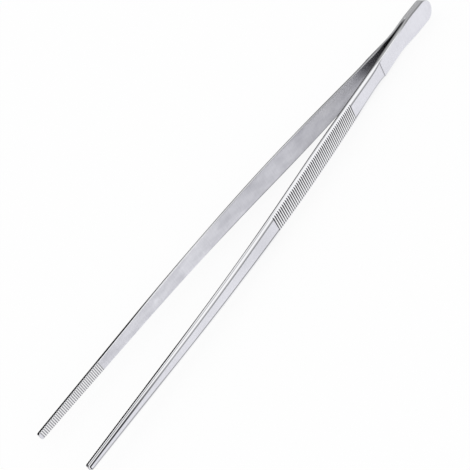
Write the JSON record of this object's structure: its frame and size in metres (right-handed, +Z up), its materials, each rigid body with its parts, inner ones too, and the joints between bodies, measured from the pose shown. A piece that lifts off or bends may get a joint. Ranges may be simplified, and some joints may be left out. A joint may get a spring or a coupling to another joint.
{
  "type": "cooking tweezers",
  "caption": "Long stainless kitchen tweezers: two sprung leaves welded at a flat head, with grooved finger grips and finely serrated tips.",
  "frame": {"origin": "centre of the bounding box seen from above, at its lowest height, where the head's lower edge rests", "axes": "+X along the leaves from the tips to the head, +Y the way the left leaf opens, +Z up across the leaves' width"},
  "size_m": [0.3, 0.0396, 0.0124],
  "materials": {
    "leaf_head": "satin outer face, polished edges",
    "weld_seam": "polished flush",
    "leaf_spring": "satin, polished edges",
    "leaf_blade": "satin faces, polished edges and bevels, grooved grip"
  },
  "bodies": {
    "head": {"left_head_plate": "leaf_head", "right_head_plate": "leaf_head", "head_weld": "weld_seam", "left_spring": "leaf_spring", "right_spring": "leaf_spring"},
    "left_arm": {"left_blade": "leaf_blade"},
    "right_arm": {"right_blade": "leaf_blade"}
  },
  "joints": [
    {"name": "left_close", "type": "hinge", "parent": "head", "child": "left_arm", "pos_m": [0.09653, 0.00367, 0.0062], "axis": [0, 0, 1], "range_deg": [0, 4.08], "stiffness_Nm_per_rad": 21.6, "deforming": ["left_spring"]},
    {"name": "right_close", "type": "hinge", "parent": "head", "child": "right_arm", "pos_m": [0.09653, -0.00367, 0.0062], "axis": [0, 0, -1], "range_deg": [0, 4.08], "stiffness_Nm_per_rad": 21.6, "deforming": ["right_spring"]}
  ],
  "couplings": [
    {"joint": "right_close", "follows": "left_close", "ratio": 1}
  ]
}
